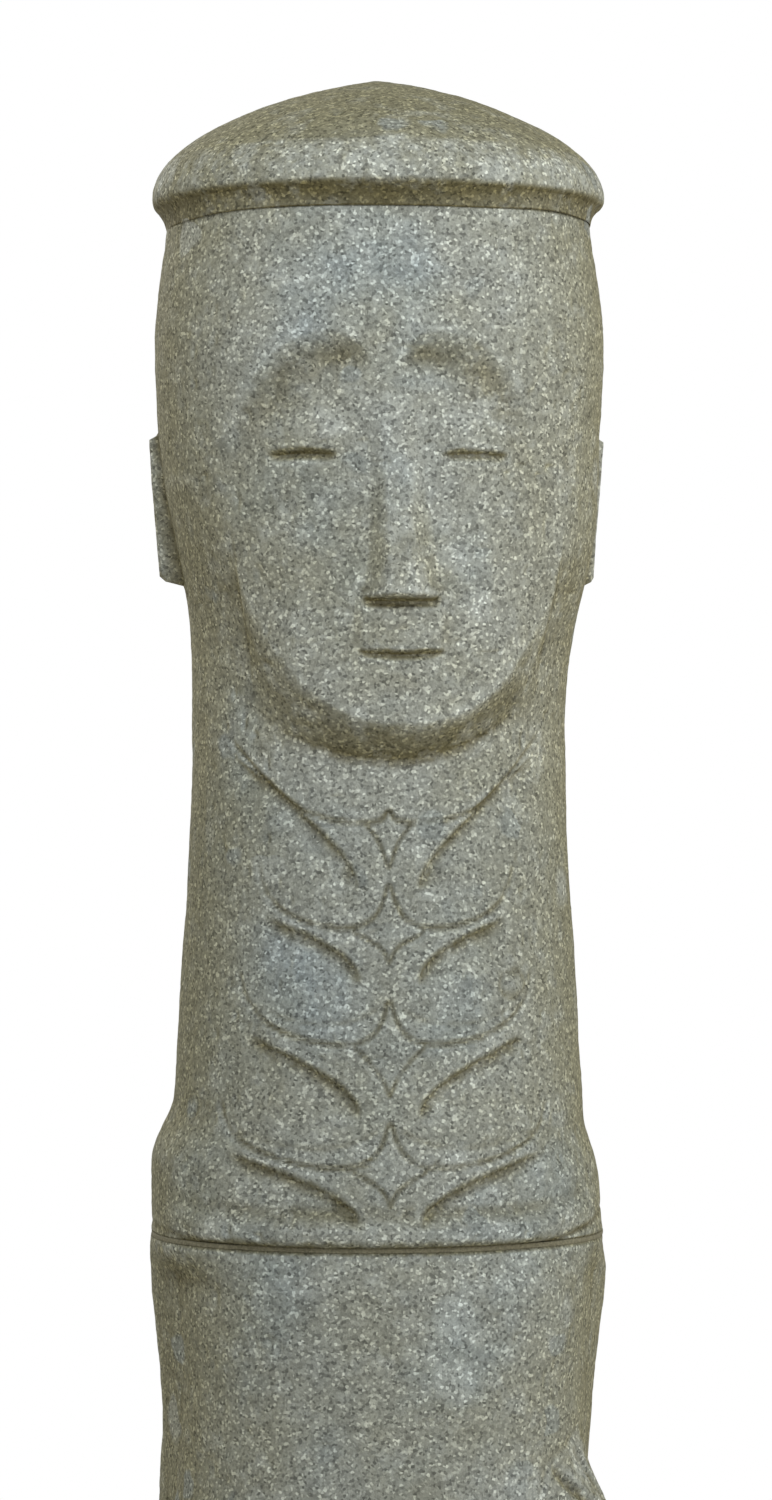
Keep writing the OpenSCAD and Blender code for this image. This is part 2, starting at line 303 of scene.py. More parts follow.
def nose_relief(s, h):
    """A wedge that widens and rises to its foot, with a broader facet on the figure's left."""
    t = np.clip((NOSE_TOP_H - h) / (NOSE_TOP_H - NOSE_FOOT_H), 0, 1)
    foot = mix(NOSE_HALF_TOP, NOSE_HALF_FOOT, t) + 2.0 * ease((t - 0.85) / 0.15)
    ridge = mix(3.0, 7.5, t)
    rise = mix(0.2, NOSE_HIGH, t ** 1.15)
    side = np.clip((foot - np.abs(s)) / (foot - ridge), 0, 1)
    side = np.where(s > 0, np.clip((foot - s) / (foot + NOSE_FACET - ridge), 0, 1), side)
    ends = ease((h - NOSE_FOOT_H + 1.5) / 3) * ease((NOSE_TOP_H - h) / 40)
    return rise * (0.6 * ease(side) + 0.4 * side) * ends


def mouth_relief(s, h):
    """A slit under a low block that hangs from the nose, with a soft lip below it."""
    d = h - MOUTH_H - 1.6 * (s / MOUTH_HALF) ** 2
    taper = np.clip(1 - (np.abs(s) / MOUTH_HALF) ** 4, 0, 1)
    slit = -MOUTH_DEPTH * taper * np.exp(-(d / np.where(d > 0, 1.5, 2.6)) ** 2)
    block = LIP_BLOCK_OUT * ease((LIP_BLOCK_HALF - np.abs(s)) / 7) * ease((d + 1) / 2)
    block = block * ease((NOSE_FOOT_H + 2 - h) / 8)
    under_nose = -UNDER_NOSE_DEPTH * np.exp(-((h - NOSE_FOOT_H + 2.5) / 3.0) ** 2)
    under_nose = under_nose * ease((UNDER_NOSE_HALF - np.abs(s)) / 6)
    lower_lip = LOWER_LIP_OUT * dome(np.hypot(s / LOWER_LIP_HALF_S, (d + 8) / LOWER_LIP_HALF_H))
    return slit + block + under_nose + lower_lip


def face_plane(s, h):
    """The face is dressed a little flatter than the skull, inside a soft shield outline."""
    side = ease((np.abs(s) - FACE_PLANE_HALF - 6 * ease((190 - h) / 90)) / 24)
    zone = ease((215 - h) / 60) * ease((h - 20) / 60)
    return -FACE_PLANE_DEPTH * (1 - side) * zone * ease((np.abs(s) - 40) / 50)


def face_relief(s, h):
    middle = s - NOSE_LEAN * ease((LEAN_BELOW - h) / LEAN_SPAN)
    return (brow_relief(s - BROW_SHIFT, h) + eye_relief(s - EYE_SHIFT, h) + face_plane(s, h)
            + nose_relief(middle, h) + mouth_relief(middle, h))


# ---- Relief of the neck ---------------------------------------------------------------

# Four pairs of bands spread up and outward from a chain of kites down the middle. Each band
# steps down to a rounded lobe, whose lower outline is the next band's upper edge. A tier is
# (start of the upper edge, its dip, where it is lowest, foot of the kite, reach, rise of the
# upper edge's end, rise of the band's tip), with heights from the chin.
TIERS = (
    (-33.0, 6.5, 14.0, -65.0, 92.0, 12.0, 2.0),
    (-76.0, 24.0, 27.0, -119.5, 74.0, -66.0, -93.0),
    (-143.0, 24.0, 27.0, -196.0, 85.0, -128.0, -161.0),
    (-213.0, 25.0, 28.0, -259.0, 95.0, -203.0, -229.0),
)
KITE_HALF_W = 15.5
STEP_DEPTH, STEP_WIDTH = 4.2, 2.6
LOBE_DEEP, LOBE_DOWN = 17.0, 34.0
# Carved lines as (half width, depth)
LOWER_LINE, UPPER_LINE, KITE_LINE = (2.2, 1.3), (2.3, 2.3), (2.1, 2.1)
LOBE_LINE, BOSS_LINE = (2.8, 0.8), (1.9, 1.2)
BOSS_OUT = 1.6
BOSS_X, BOSS_H, BOSS_R = 74.0, -133.0, 8.0
NECK_SHIFT = -3.0


def upper_edge(tier):
    """From the middle line down into the dip, and up and out to the end of the reach."""
    start, dip, lowest, _, reach, end, _ = TIERS[tier]
    floor = start - dip
    first = bezier((1.0, start), (0.2 * lowest, start - 0.8 * dip),
                   (0.5 * lowest, floor), (lowest, floor), 14)
    steep = mix(0.7, 0.98, float(tier > 0))
    second = bezier((lowest, floor), (mix(lowest, reach, 0.5), floor),
                    (steep * reach, mix(floor, end, 0.3)), (reach, end), 20)
    return np.vstack([first, second[1:]])


def lower_edge(tier):
    """From beside the kite's foot up and out to the band's tip."""
    foot, reach, tip = TIERS[tier][3], TIERS[tier][4], TIERS[tier][6]
    return bezier((KITE_HALF_W, foot - 14), (KITE_HALF_W + 1.5, foot + 4),
                  (0.5 * reach, mix(foot, tip, 0.45)), (reach - 2, tip))


def kite_side(tier):
    """From the dip of the upper edge in to the foot of the kite."""
    start, dip, lowest, foot = TIERS[tier][:4]
    return bezier((0.6 * lowest + 4, start - dip - 2), (0.5 * lowest, start - dip - 8),
                  (4, foot + 12), (0.4, foot), 12)


def lobe_line(tier):
    """A faint second line just above the lower outline of a lobe."""
    start, dip, lowest, _, reach, end, _ = TIERS[tier]
    return bezier((8, start - 4), (lowest, start - dip + 8), (0.6 * reach, start - dip + 9),
                  (0.9 * reach, mix(start - dip, end, 0.55)), 16)


def neck_relief(x, h):
    """Relief at x across the front and h above the chin."""
    a = np.abs(x)
    total = np.zeros(x.shape)
    for tier in range(len(TIERS)):
        foot, reach = TIERS[tier][3:5]
        low, high = lower_edge(tier), upper_edge(tier)
        d = distance_to(low, a, h)
        below = (a > KITE_HALF_W) & (h < np.interp(a, low[:, 0], low[:, 1]))
        fade = ease((reach - a) / 16) * ease((h - foot + 17) / 13)
        lobe = STEP_DEPTH * ease(d / STEP_WIDTH) * np.exp(-(d / LOBE_DEEP) ** 1.3) * fade
        total -= np.where(below & (h > foot - LOBE_DOWN), lobe, 0)
        total += groove(d, *LOWER_LINE) * fade
        faint = mix(1, 0.45, ease((a - 0.82 * reach) / (0.18 * reach)))
        total += groove(distance_to(high, a, h), *UPPER_LINE) * faint
        total += groove(distance_to(kite_side(tier), a, h), *KITE_LINE)
        if tier > 1:
            total += groove(distance_to(lobe_line(tier), a, h), *LOBE_LINE)
    boss = np.hypot(x - BOSS_X, h - BOSS_H) / BOSS_R
    total += BOSS_OUT * dome(boss) + groove(np.abs(boss - 1) * BOSS_R, *BOSS_LINE)
    return total


# ---- Head and neck stone --------------------------------------------------------------

EAR_ANGLE, EAR_HALF = math.radians(97), math.radians(7)
EAR_REACHES = (130.5, 137.4)
EAR_SPAN = (0.32, 0.6)
EAR_RAMP, EAR_RIM, EAR_RIM_DEPTH = math.radians(1.1), math.radians(1.6), 1.5
# Rounding of the stones' arrises, and a distance that puts a stone's other end out of reach
COLLAR_ARRIS, CHEST_ARRIS, HEAD_TOP_ARRIS, FOOT_ARRIS = 1.3, 1.1, 1.4, 4.0
FAR = 50.0


def ear_mask(angle, z, grow):
    """1 on the ear plates, grown sideways by an angle, and 0 elsewhere."""
    u = (z - Z_CHIN) / HEAD_H
    across = ease((EAR_HALF + grow - np.abs(np.abs(angle) - EAR_ANGLE)) / EAR_RAMP)
    return across * ease((u - EAR_SPAN[0] + 0.004) / 0.014) * ease((EAR_SPAN[1] - u) / 0.012)


SHOULDER_OUT, SHOULDER_TOP, SHOULDER_RAMP, SHOULDER_LEAN = 9.0, 78.0, 38.0, 2.5
SHOULDER_ANGLE, SHOULDER_SPREAD = math.radians(92), math.radians(40)
ROLL_OUT, ROLL_UP, ROLL_HALF, ROLL_CLIMB = 4.6, 9.0, 9.5, 12.0
ROLL_UNDERCUT, ROLL_COVE = 1.8, 0.5
# Degrees from the front where the roll starts to climb and to thin out, and over how many
CLIMB_FROM, CLIMB_OVER = 35.0, 60.0
THIN_FROM, THIN_OVER = 45.0, 35.0
JOINT_FROM, JOINT_OVER, JOINT_LEAST = 55.0, 30.0, 0.15


def collar_roll(angle, z):
    """Level in front, and climbing and thinning out over the shoulders to the back."""
    turned = np.degrees(np.abs(angle))
    climb = ROLL_CLIMB * (1 + np.sin(angle) / 2) * ease((turned - CLIMB_FROM) / CLIMB_OVER)
    d = z - Z_NECK_FOOT - ROLL_UP - climb
    fullness = mix(1, 0.15, ease((turned - THIN_FROM) / THIN_OVER))
    under = -ROLL_UNDERCUT * np.exp(-((d + ROLL_HALF + 0.5) / 2.4) ** 2)
    above = -ROLL_COVE * np.exp(-((d - 12) / 4.0) ** 2)
    profile = np.where(d < 0, bump(d, ROLL_HALF), dome(np.abs(d) / (ROLL_HALF * 1.5)))
    return (ROLL_OUT * profile + above) * fullness + under * mix(1, 0.3, ease((turned - 70) / 30))


def shoulder(angle, z):
    """How far the shoulders swell out beyond the neck on both sides."""
    lean = SHOULDER_LEAN * np.sin(angle) * mix(0.3, 1, ease((z - Z_NECK_FOOT) / 45))
    sides = ease(1.5 - np.abs(np.abs(angle) - SHOULDER_ANGLE) / SHOULDER_SPREAD)
    top = Z_TORSO_TOP + SHOULDER_TOP - 2 * lean
    return (SHOULDER_OUT - lean) * ease((top - z) / SHOULDER_RAMP) * sides


def arris(z, low, high, radius):
    """How far a rounded edge falls back near the stone's two ends."""
    d = np.minimum(np.abs(z - low), np.abs(high - z))
    return radius - np.sqrt(np.clip(radius ** 2 - np.clip(radius - d, 0, None) ** 2, 0, None))


def head_neck_surface(angle, z):
    s = angle * HEAD_ROLL_R
    h = z - Z_CHIN
    low, high = crease_z(s), face_edge_z(s)
    at = jaw_z(angle, z)
    t = np.clip((at - low) / (high - low), 0, 1)
    front = ease((math.radians(75) - np.abs(angle)) / math.radians(10))
    neck = neck_r(angle, z)
    across = neck * np.sin(angle) - NECK_SHIFT
    relief = np.where(h > 0, ease(t * 2 - 1) * face_relief(s, h), 0) * front
    relief += neck_relief(across, h) * (1 - ease(t * 6)) * front
    swell = shoulder(angle, z)
    roll = collar_roll(angle, z) * mix(1, 0.5, np.clip(swell / SHOULDER_OUT, 0, 1))
    r = mix(neck, head_r(angle, at), jaw_fullness(t, z)) + relief + swell + roll
    plate = ear_mask(angle, z, 0.0)
    rim = ear_mask(angle, z, EAR_RIM) - plate
    r = r - EAR_RIM_DEPTH * rim * (1 - plate)
    u = (h / HEAD_H - EAR_SPAN[0]) / (EAR_SPAN[1] - EAR_SPAN[0])
    reach = mix(*EAR_REACHES, np.clip(u, 0, 1))
    r = np.where(plate > 0, np.maximum(r, mix(r, reach, plate)), r)
    r = r - arris(z, Z_NECK_FOOT, Z_HEAD_TOP + FAR, COLLAR_ARRIS) * joint_shows(angle)
    return r - arris(z, 0, Z_HEAD_TOP, HEAD_TOP_ARRIS)


def joint_shows(angle):
    """The collar joint is raked out in front and pointed flush at the sides and back."""
    return mix(1, JOINT_LEAST, ease((np.degrees(np.abs(angle)) - JOINT_FROM) / JOINT_OVER))


def head_painted_shade(angle, z):
    """Extra painted shade in the brow hollows, the bevel under the chin and at the ear plates' edges, and
    less of it by the nose.
    """
    s = angle * HEAD_ROLL_R
    h = z - Z_CHIN
    t = (z - crease_z(s)) / (face_edge_z(s) - crease_z(s))
    under_chin = bump(t - 0.4, 0.6) * ease((75 - np.abs(s)) / 45)
    by_nose = ease((34 - np.abs(s)) / 12) * ease((h - NOSE_FOOT_H - 4) / 8) * ease((NOSE_TOP_H - h) / 30)
    plate = ear_mask(angle, z, 0.0)
    return 0.55 * brow_shade(s - BROW_SHIFT, h) + 0.5 * under_chin - 1.2 * by_nose + 2 * plate * (1 - plate)


# ---- Trunk ----------------------------------------------------------------------------

# Limbs lie on the unrolled surface as (half width, height, from, to), and the arm's two parts
# as (half width, height) only, because the right hand lies lower than the left by the drop.
RIGHT_HAND_DROP = 46.0
SHOULDER, ELBOW, WRIST = (196.0, 570.0), (262.0, 245.0), (187.0, 314.0)
UPPER_ARM, FOREARM = (50, 10), (32, 12)
THIGH = (48, 12, (64, 205), (56, 130))
SHIN = (36, 8, (56, 130), (56, 20))
FOOT = (42, 16, (56, 20), (56, 6))
TOP_BLEND = 24.0
LEAN_FROM, LEAN_OVER = 0.7, 0.1
BACK_FLATTER = 0.97
# The hand is a fan about the wrist: the edges of its four fingers in degrees up from level,
# and the reach of its outline from the wrist as (degrees, millimetres)
FINGER_EDGES = (18.0, 30.8, 41.6, 56.3, 77.0)
HAND_OUTLINE = ((8, 70), (20, 92), (30, 108), (42, 114), (56, 104), (70, 88), (84, 74), (104, 58))
HAND_HEIGHT, HAND_TAPER = 15.0, 62.0
FINGERTIP_STEP = 1.4
FINGER_GROOVE, FINGER_GROOVE_HALF = 4.6, 5.5
KNUCKLE_ARC = 44.0


def limb(s, h, shape):
    half, height, start, end = shape
    d = distance_to(np.array([start, end], float), s, h)
    return height * mix(bump(d, half), dome(d / half), 0.7)


def hand_relief(s, h):
    """A back of the hand that thins out to the fingertips, with grooves between the fingers."""
    x, y = WRIST[0] - s, h - WRIST[1]
    reach = np.hypot(x, y)
    turn = np.degrees(np.arctan2(y, x))
    degrees, lengths = np.array(HAND_OUTLINE).T
    outline = np.interp(turn, degrees, lengths)
    mid, half = (degrees[0] + degrees[-1]) / 2, (degrees[-1] - degrees[0]) / 2
    sides = ease((half - np.abs(turn - mid)) * np.radians(np.maximum(reach, 25)) / 12)
    inward = outline - reach
    height = HAND_HEIGHT * ease(inward / HAND_TAPER) * sides + FINGERTIP_STEP * ease(inward / 4) * sides
    grooves = np.zeros(s.shape)
    for edge in FINGER_EDGES:
        across = np.abs(turn - edge) * np.radians(reach)
        grooves = np.maximum(grooves, np.clip(1 - across / FINGER_GROOVE_HALF, 0, 1) ** 1.2)
    length = ease((reach - KNUCKLE_ARC) / 16) * ease(inward / 10)
    return height - np.minimum(FINGER_GROOVE, height) * grooves * length


def limbs_relief(s, h, drop):
    elbow = (ELBOW[0], ELBOW[1] - drop / 2)
    lowered = h + drop
    wrist = (WRIST[0], WRIST[1] - drop)
    arm = np.maximum(limb(s, h, (*UPPER_ARM, SHOULDER, elbow)), limb(s, h, (*FOREARM, elbow, wrist)))
    legs = np.maximum(limb(s, h, THIGH), np.maximum(limb(s, h, SHIN), limb(s, h, FOOT)))
    return np.maximum(np.maximum(arm, hand_relief(s, lowered)), legs)


def torso_surface(angle, z):
    h = z - Z_TORSO_FOOT
    u = h / (Z_TORSO_TOP - Z_TORSO_FOOT)
    s = np.abs(angle) * TRUNK_HALF_W
    a = TRUNK_HALF_W * soft(TRUNK_WIDTHS, u, BODY_SPAN)
    b = TRUNK_HALF_W * soft(TRUNK_DEPTHS, u, BODY_SPAN)
    relief = np.where(angle < 0, limbs_relief(s, h, RIGHT_HAND_DROP), limbs_relief(s, h, 0.0))
    lean = CHEST_LEAN * np.sin(angle) * ease((u - LEAN_FROM) / LEAN_OVER)
    trunk = oval(angle, a, b, b * BACK_FLATTER, TRUNK_N) + relief + lean
    foot_of_neck = neck_r(angle, Z_NECK_FOOT) + shoulder(angle, Z_NECK_FOOT)
    r = mix(trunk, foot_of_neck, ease(1 - (Z_TORSO_TOP - z) / TOP_BLEND))
    r = r - arris(z, Z_TORSO_FOOT, Z_TORSO_TOP + FAR, FOOT_ARRIS)
    return r - arris(z, Z_TORSO_FOOT - FAR, Z_TORSO_TOP, CHEST_ARRIS) * joint_shows(angle)


# ---- Meshes ---------------------------------------------------------------------------

HEAD_SEED, TORSO_SEED, CAP_SEED, TILT_SEED = 11, 23, 37, 41
PLINTH_SEED, COLLAR_SEED, BASE_SEED = 53, 61, 67
# Waves left by hand dressing, as (size across, depth)
UNDULATION = ((70.0, 0.9), (26.0, 0.45), (9.0, 0.22), (3.2, 0.16))
PIT_SIZE, PIT_FROM, PIT_DEPTH = 6.0, 0.55, 3.2


def weather(points, seed):
    """Hand-dressing waviness, grain and small pits, in millimetres."""
    total = sum(depth * noise(points, size, seed + k) for k, (size, depth) in enumerate(UNDULATION))
    pits = np.clip(noise(points, PIT_SIZE, seed + 9) - PIT_FROM, 0, None) * PIT_DEPTH
    return total - pits


def on_circle(angle, r, z):
    return np.stack([r * np.sin(angle), -r * np.cos(angle), z], axis=-1)


def blur(field, rows, cols):
    """Mean over a window of the grid, wrapped round the figure and held at the ends."""
    padded = np.pad(field, ((rows, rows), (0, 0)), mode="edge")
    total = sum(padded[k:k + field.shape[0]] for k in range(2 * rows + 1)) / (2 * rows + 1)
    return sum(np.roll(total, k, axis=1) for k in range(-cols, cols + 1)) / (2 * cols + 1)


def grid_mesh(name, points):
    """A closed mesh through rings of points, with a flat face on each end."""
    rows, cols = points.shape[:2]
    i, j = np.meshgrid(np.arange(rows - 1), np.arange(cols), indexing="ij")
    k = (j + 1) % cols
    corners = [i * cols + j, i * cols + k, (i + 1) * cols + k, (i + 1) * cols + j]
    faces = np.stack(corners, axis=-1).reshape(-1, 4).tolist()
    faces.append(list(range(cols - 1, -1, -1)))
    faces.append([(rows - 1) * cols + c for c in range(cols)])
    mesh = bpy.data.meshes.new(name)
    mesh.from_pydata((points.reshape(-1, 3) * MM).tolist(), [], faces)
    mesh.polygons.foreach_set("use_smooth", [True] * (len(faces) - 2) + [False] * 2)
    mesh.update()
    piece = bpy.data.objects.new(name, mesh)
    bpy.context.scene.collection.objects.link(piece)
    return piece


def paint(piece, name, values):
    attribute = piece.data.attributes.new(name, "FLOAT", "POINT")
    attribute.data.foreach_set("value", np.asarray(values, np.float32).ravel())


HOLE_SIDES = 40
# How far a cutter stands out of the face that it cuts
CLEAR = 5.0


def cut_holes(piece, x, radius, low, high):
    """Two upright round holes at -x and x, from low to high."""
    turn = np.linspace(0, 2 * math.pi, HOLE_SIDES, endpoint=False)
    for k, side in enumerate((-1, 1)):
        ring = np.stack([side * x + radius * np.cos(turn), radius * np.sin(turn)], axis=-1)
        rings = np.stack([np.column_stack([ring, np.full(HOLE_SIDES, z)]) for z in (low, high)])
        cutter = grid_mesh(f"cutter_{k}", rings)
        modifier = piece.modifiers.new("hole", "BOOLEAN")
        modifier.operation = "DIFFERENCE"
        modifier.solver = "EXACT"
        modifier.object = cutter
        bpy.context.view_layer.update()
        evaluated = piece.evaluated_get(bpy.context.evaluated_depsgraph_get())
        mesh = bpy.data.meshes.new_from_object(evaluated)
        piece.modifiers.clear()
        piece.data = mesh
        bpy.data.objects.remove(cutter)


def angles(bands):
    """Section angles for a full turn, from half a turn's bands of (up to degrees, steps)."""
    parts, start = [], 0
    for end, steps in bands:
        parts.append(np.linspace(start, end, steps, endpoint=False))
        start = end
    half = np.radians(np.concatenate(parts))
    return np.concatenate([half, [math.pi], -half[:0:-1]])


def rows_from(start, bands):
    """Heights from start through bands of (up to height, step between rows)."""
    parts = []
    for end, step in bands:
        parts.append(np.linspace(start, end, max(1, round((end - start) / step)), endpoint=False))
        start = end
    return np.concatenate(parts + [[start]])


# Millimetres in or out of the surface round a point that give it full painted shade or full wear and painted
# highlight
FULL_RELIEF = 1.2


def carve(name, surface, section, heights, seed, painted_shade=None):
    """A stone from its surface function, with weathering, and painted wear, highlight and shade."""
    angle, z = np.meshgrid(section, heights)
    r = surface(angle, z)
    flat = on_circle(angle, r, z)
    rough = weather(flat, seed)
    ends = ease(np.minimum(z - heights[0], heights[-1] - z) / 6)
    piece = grid_mesh(name, on_circle(angle, r + rough * mix(0.25, 1, ends), z))
    # Painted shade in hollows and wear with a painted highlight on rises, by how far the surface stands in
    # or out of its surroundings
    relief = r - blur(r, 4, 4)
    extra = 0 if painted_shade is None else painted_shade(angle, z)
    paint(piece, "crease", np.clip(-relief / FULL_RELIEF + extra, 0, 1))
    paint(piece, "wear_and_highlight", np.clip(relief / FULL_RELIEF, 0, 1))
    return piece


def head_neck_stone():
    """Rows stand closest at the collar, the mouth, the nose's foot and the eyes."""
    section = angles([(58, 98), (104, 35), (180, 22)])
    heights = rows_from(Z_NECK_FOOT, [
        (Z_NECK_FOOT + 28, 1.5), (Z_CHIN - 8, 1.9), (Z_CHIN + 30, 1.7), (Z_CHIN + 50, 2.4),
        (Z_CHIN + 66, 1.1), (Z_CHIN + 82, 2.4), (Z_CHIN + 96, 1.3), (Z_CHIN + 162, 2.7),
        (Z_CHIN + 182, 1.1), (Z_CHIN + 254, 2.2), (Z_HEAD_TOP, 3.2)])
    piece = carve("carved_head_and_neck", head_neck_surface, section, heights, HEAD_SEED, head_painted_shade)
    cut_holes(piece, DOWEL_X, RESIN_HOLE_R, Z_HEAD_TOP - HEAD_HOLE_DEPTH, Z_HEAD_TOP + CLEAR)
    return piece


def torso_stone():
    """Rows stand closest at the hands."""
    section = angles([(90, 100), (130, 26), (180, 20)])
    heights = rows_from(Z_TORSO_FOOT, [
        (Z_TORSO_FOOT + 250, 2.8), (Z_TORSO_FOOT + 415, 1.7), (Z_TORSO_TOP, 2.4)])
    return carve("carved_torso", torso_surface, section, heights, TORSO_SEED)


# The cap's dome runs down to a rounded lip. A bevel under the lip leads in to a foot that
# stands just outside the head, and hangs a little lower on the figure's right.
DOME_POWER = 1.18
BRIM_DROP, LIP_R = 12.0, 6.0
LIP_TURN = math.radians(62)
FOOT_GAP, FOOT_EDGE = 0.5, 0.4
FOOT_DROP = 4.2
LOW_SIDE_DROP = 4.0
SEAT_INSET = 1.2
BEVEL_HOLLOW = 0.8
CAP_SIDES = 420
# How far in the dome counts as brim, where the brim is most worn and carries a painted highlight, and the
# depth of its holes
BRIM_WIDTH, WORN_UP, WORN_HALF = 30.0, 8.0, 15.0
CAP_HOLE_DEPTH = 47.0


def cap_surface(section):
    """Rings of (radius, height) from the edge of the seat, round the foot and the lip, to the top."""
    def level(value):
        return np.full(len(section), value)

    z_wide = Z_SEAT + BRIM_DROP
    foot_r = head_r(section, level(Z_HEAD_TOP)) + FOOT_GAP
    on_foot = on_circle(section, foot_r, level(Z_SEAT))
    low_side = LOW_SIDE_DROP * ease(-np.sin(section + 0.2) * 0.9) + 1.3 * noise(on_foot, 48.0, TILT_SEED)
    foot_z = Z_SEAT - FOOT_DROP - low_side
    lip = (CAP_R - LIP_R * (1 - math.cos(LIP_TURN)), z_wide - LIP_R * math.sin(LIP_TURN))
    rings = [(foot_r - SEAT_INSET, level(Z_SEAT)),
             (foot_r - FOOT_EDGE, foot_z + 0.3),
             (foot_r + FOOT_EDGE, foot_z)]
    for t in np.linspace(0.08, 0.96, 12):
        hollow = BEVEL_HOLLOW * math.sin(math.pi * t)
        bevel_z = mix(foot_z, lip[1] - 0.5 * low_side, t)
        rings.append((mix(foot_r + FOOT_EDGE, lip[0], t) - hollow, bevel_z + hollow))
    for turn in np.linspace(LIP_TURN, 0, 9):
        r = CAP_R - LIP_R * (1 - math.cos(turn))
        rings.append((level(r), z_wide - LIP_R * math.sin(turn) - 0.5 * low_side * turn / LIP_TURN))
    for turn in np.radians(np.concatenate([np.linspace(89, 60, 36), np.linspace(59, 0.8, 60)])):
        r = CAP_R * math.sin(turn) ** (2 / DOME_POWER)
        rings.append((level(r), level(z_wide + (Z_TOP - z_wide) * math.cos(turn))))
    radii, heights = zip(*rings)
    return np.array(radii), np.array(heights)


def cap_stone():
    section = np.linspace(0, 2 * math.pi, CAP_SIDES, endpoint=False)
    r, z = cap_surface(section)
    angle = np.broadcast_to(section, r.shape)
    rough = weather(on_circle(angle, r, z), CAP_SEED)
    edge = ease((r - CAP_R + BRIM_WIDTH) / 25)
    under = ease((Z_SEAT + BRIM_DROP - z) / 5)
    calm = mix(1, 0.35, under) * ease((np.arange(len(r)) / 3)[:, None])
    moved = on_circle(angle, r + (rough - 0.5) * edge * calm, z + (rough - 0.5) * (1 - edge) * calm)
    piece = grid_mesh("carved_cap", moved)
    # Painted shade under the brim, and wear with a painted highlight on the brim's front
    paint(piece, "crease", under)
    paint(piece, "wear_and_highlight", bump(z - Z_SEAT - BRIM_DROP - WORN_UP, WORN_HALF) * edge * (1 - under))
    cut_holes(piece, DOWEL_X, DOWEL_HOLE_R, Z_SEAT - CLEAR, Z_SEAT + CAP_HOLE_DEPTH)
    return piece


PLINTH_SIDES = 360
# Stands the weathered side back, so that its waves stay inside the frame's plinth
PLINTH_INSET = 1.6
# On the plinth's top, painted shade round the figure's foot ends at one radius and dips start at the other
FOOT_SHADE_R, DIP_R = 142.0, 132.0


def plinth_stone():
    """A turned outline of (radius, height): foot edge, side, worn upper edge and top."""
    line = np.vstack([[(PLINTH_R - 4, 0), (PLINTH_R - 1.5, 1.5)],
                      [(PLINTH_R - 0.5, z) for z in np.linspace(4, PLINTH_H - 12, 34)],
                      [(PLINTH_R - 0.5 - 9 * t, PLINTH_H - 12 + 11 * t) for t in np.linspace(0.1, 0.95, 8)],
                      [(r, PLINTH_H) for r in np.linspace(PLINTH_R - 12, 60, 42)]])
    section = np.linspace(0, 2 * math.pi, PLINTH_SIDES, endpoint=False)
    angle, r = np.meshgrid(section, line[:, 0])
    z = np.repeat(line[:, 1][:, None], len(section), axis=1)
    rough = weather(on_circle(angle, r, z), PLINTH_SEED) - PLINTH_INSET
    side = ease((r - PLINTH_R + 14) / 8)
    held = ease(z / 4)
    top_dip = np.minimum(rough * 0.4, 0) * (1 - side) * ease((r - DIP_R) / 6)
    piece = grid_mesh("dressed_plinth", on_circle(angle, r + rough * side * held, z + top_dip))
    # Painted shade on the plinth's top round the figure's foot, and wear on its upper edge
    paint(piece, "crease", ease((z - PLINTH_H + 3) / 3) * ease((FOOT_SHADE_R - r) / 12))
    paint(piece, "wear_and_highlight", bump(z - PLINTH_H + 8, 9.0) * side)
    cut_holes(piece, ANCHOR_X, ANCHOR_R, -CLEAR, ANCHOR_DEPTH)
    return piece


# How far the mortar stands back: where it is flush, where it is raked out, and at the base
FLUSH_INSET, RAKED_INSET, BASE_INSET = 0.3, 1.7, 4.0
BED_SIDES = 240


def collar_outline(angle):
    inset = mix(FLUSH_INSET, RAKED_INSET, joint_shows(angle))
    return neck_r(angle, Z_NECK_FOOT) + shoulder(angle, Z_NECK_FOOT) - inset


def base_outline(angle):
    return torso_surface(angle, Z_TORSO_FOOT + 8) - BASE_INSET


def mortar_bed(name, outline, low, high, seed):
    """A thin bed of mortar whose edge follows an outline between two stones."""
    section = np.linspace(0, 2 * math.pi, BED_SIDES, endpoint=False)
    turned = np.where(section > math.pi, section - 2 * math.pi, section)
    edge = outline(turned)
    rings = []
    for z in np.linspace(low, high, 5):
        level = np.full(BED_SIDES, z)
        r = edge + 0.5 * bump(z - (low + high) / 2, (high - low) * 0.6)
        grain = 0.5 * noise(on_circle(section, r, level), 9.0, seed)
        rings.append(on_circle(section, r + grain, level))
    return grid_mesh(name, np.array(rings))


# ---- Materials ------------------------------------------------------------------------


